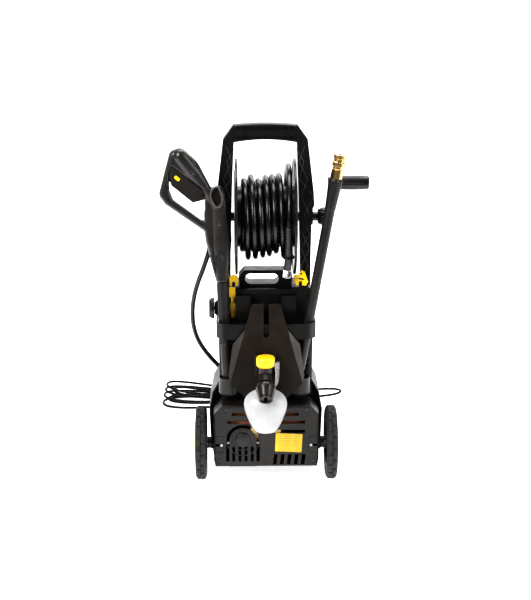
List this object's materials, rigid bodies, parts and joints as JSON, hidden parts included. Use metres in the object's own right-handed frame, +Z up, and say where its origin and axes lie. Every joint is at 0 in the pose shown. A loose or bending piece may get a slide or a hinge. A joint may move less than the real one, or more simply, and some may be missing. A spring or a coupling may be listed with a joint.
{
  "type": "pressure washer",
  "caption": "Upright electric pressure washer on two wheels with hose reel, trigger gun, lance, foam bottle and mains lead hank.",
  "frame": {"origin": "on the floor, under the centre of the machine's bounding box without the mains lead", "axes": "+Z up; -Y towards the label, cups and foam bottle; +X towards the reel's crank"},
  "size_m": [0.5463, 0.8327, 0.86],
  "materials": {
    "black_plastic": "satin moulded",
    "gloss_plate": "semi-gloss",
    "grey_plastic": "satin",
    "gun_plastic": "fine texture",
    "yellow_plastic": "glossy",
    "tyre_rubber": "matte",
    "hose_rubber": "glossy",
    "tie_wire": "glossy",
    "steel": "turned",
    "laminations": "stacked sheet",
    "copper": "enamelled wire",
    "cast_metal": "die cast",
    "brass": "machined",
    "inlet_plastic": "satin",
    "bottle": "translucent"
  },
  "bodies": {
    "chassis": {"base_rear_shell": "black_plastic", "lower_front_cover": "black_plastic", "tower_shell": "black_plastic", "crown_brace": "black_plastic", "left_post": "black_plastic", "right_post": "black_plastic", "handle_grip": "black_plastic", "front_plate": "gloss_plate", "holder_band": "black_plastic", "accessory_cups": "grey_plastic", "nozzle_clip": "yellow_plastic", "rubber_feet": "tyre_rubber", "wheel_axle": "steel", "fasteners": "steel", "motor_frame": "laminations", "motor_windings": "copper", "pump_body": "cast_metal", "pump_head": "brass", "pump_pistons": "steel", "water_inlet": "inlet_plastic", "outlet_elbow": "brass", "switch_box": "black_plastic", "reel_bearings": "black_plastic", "reel_swivel": "black_plastic", "hose_tail": "hose_rubber", "hose_end_sleeve": "hose_rubber", "hose_end_nut": "steel", "connection_hose": "hose_rubber", "cable_gland": "black_plastic", "mains_lead": "hose_rubber", "mains_hank": "hose_rubber", "cord_tie": "tie_wire", "plug": "hose_rubber"},
    "motor_shaft": {"motor_rotor": "steel", "motor_fan": "black_plastic", "wobble_plate": "steel"},
    "wheel_left": {"wheel_left_tyre": "tyre_rubber", "wheel_left_rim": "yellow_plastic"},
    "wheel_right": {"wheel_right_tyre": "tyre_rubber", "wheel_right_rim": "yellow_plastic"},
    "reel": {"reel_drum": "black_plastic", "reel_flange_left": "black_plastic", "reel_flange_right": "black_plastic", "wound_hose": "hose_rubber", "crank_arm": "black_plastic"},
    "crank_handle": {"crank_grip": "black_plastic"},
    "gun": {"gun_casing_front": "gun_plastic", "gun_casing_rear": "gun_plastic", "gun_barrel": "gun_plastic"},
    "trigger": {"gun_trigger": "gun_plastic"},
    "trigger_lock": {"gun_lock": "yellow_plastic"},
    "lance": {"lance_tube": "gun_plastic", "lance_coupler": "brass"},
    "foam_set": {"foam_bottle": "bottle", "foam_head": "black_plastic"},
    "foam_fan_nozzle": {"foam_nozzle": "black_plastic"},
    "foam_dose_knob": {"foam_knob": "yellow_plastic"},
    "switch_knob": {"power_knob": "black_plastic"},
    "left_latch": {"latch_left": "yellow_plastic"},
    "right_latch": {"latch_right": "yellow_plastic"}
  },
  "joints": [
    {"name": "motor_spin", "type": "hinge", "parent": "chassis", "child": "motor_shaft", "pos_m": [0, 0.051, 0.2], "axis": [0, 0, 1], "continuous": true},
    {"name": "wheel_left_spin", "type": "hinge", "parent": "chassis", "child": "wheel_left", "pos_m": [-0.159, -0.055, 0.09], "axis": [1, 0, 0], "continuous": true},
    {"name": "wheel_right_spin", "type": "hinge", "parent": "chassis", "child": "wheel_right", "pos_m": [0.159, -0.055, 0.09], "axis": [1, 0, 0], "continuous": true},
    {"name": "reel_spin", "type": "hinge", "parent": "chassis", "child": "reel", "pos_m": [0, 0.06, 0.632], "axis": [1, 0, 0], "continuous": true},
    {"name": "crank_grip_spin", "type": "hinge", "parent": "reel", "child": "crank_handle", "pos_m": [0.2, 0.06, 0.715], "axis": [1, 0, 0], "continuous": true},
    {"name": "gun_lift", "type": "slide", "parent": "chassis", "child": "gun", "axis": [-0.0358, 0, 0.9994], "range_m": [0, 0.2]},
    {"name": "trigger_pull", "type": "hinge", "parent": "gun", "child": "trigger", "pos_m": [-0.146, -0.042, 0.704], "axis": [0, 1, 0], "range_deg": [0, 7], "stiffness_Nm_per_rad": 2, "springref_deg": -2.86},
    {"name": "trigger_lock_swing", "type": "hinge", "parent": "trigger", "child": "trigger_lock", "pos_m": [-0.208, -0.042, 0.744], "axis": [0, 1, 0], "range_deg": [-30, 30]},
    {"name": "lance_lift", "type": "slide", "parent": "chassis", "child": "lance", "axis": [0.1699, -0.0303, 0.985], "range_m": [0, 0.2]},
    {"name": "foam_lift", "type": "slide", "parent": "chassis", "child": "foam_set", "axis": [0, -0.5, 0.866], "range_m": [0, 0.12]},
    {"name": "foam_nozzle_twist", "type": "hinge", "parent": "foam_set", "child": "foam_fan_nozzle", "pos_m": [-0.003, -0.148, 0.291], "axis": [0, -0.7634, -0.6459], "range_deg": [0, 90]},
    {"name": "foam_knob_turn", "type": "hinge", "parent": "foam_set", "child": "foam_dose_knob", "pos_m": [-0.003, -0.143, 0.32], "axis": [0, 0, 1], "range_deg": [0, 270]},
    {"name": "power_switch", "type": "hinge", "parent": "chassis", "child": "switch_knob", "pos_m": [-0.126, 0.03, 0.409], "axis": [-1, 0, 0], "range_deg": [0, 90]},
    {"name": "latch_left_flip", "type": "hinge", "parent": "chassis", "child": "left_latch", "pos_m": [-0.078, -0.001, 0.478], "axis": [1, 0, 0], "range_deg": [0, 45]},
    {"name": "latch_right_flip", "type": "hinge", "parent": "chassis", "child": "right_latch", "pos_m": [0.084, -0.001, 0.478], "axis": [1, 0, 0], "range_deg": [0, 45]}
  ]
}
